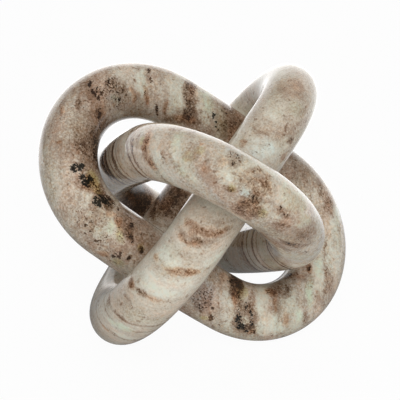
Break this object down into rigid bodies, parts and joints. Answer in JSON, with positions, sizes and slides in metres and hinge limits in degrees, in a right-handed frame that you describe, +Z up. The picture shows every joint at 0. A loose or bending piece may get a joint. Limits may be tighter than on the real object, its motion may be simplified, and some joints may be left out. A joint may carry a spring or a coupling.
{
  "type": "chain link sculpture",
  "caption": "Tabletop sculpture of loose interlocked oval links of round polished marble bar, leaning on each other and standing on their own ends.",
  "frame": {"origin": "on the table, under the middle of the three links' box", "axes": "+X to the viewer's right along the longest extent, +Y away from the viewer, +Z up from the table"},
  "size_m": [0.1374, 0.1334, 0.109],
  "materials": {
    "front_marble": "polished",
    "upright_marble": "polished",
    "cross_marble": "polished"
  },
  "bodies": {
    "front_link": {"front_link": "front_marble"},
    "upright_link": {"upright_link": "upright_marble"},
    "cross_link": {"cross_link": "cross_marble"}
  },
  "joints": [
    {"name": "upright_link_rock", "type": "hinge", "parent": "front_link", "child": "upright_link", "pos_m": [-0.03256, -0.01562, 0], "axis": [-0.0872, -0.9962, 0], "range_deg": [0, 6.5]},
    {"name": "cross_link_rock", "type": "hinge", "parent": "front_link", "child": "cross_link", "pos_m": [0.00362, 0.0357, 0], "axis": [-0.788, 0.6157, 0], "range_deg": [0, 8.5]}
  ]
}
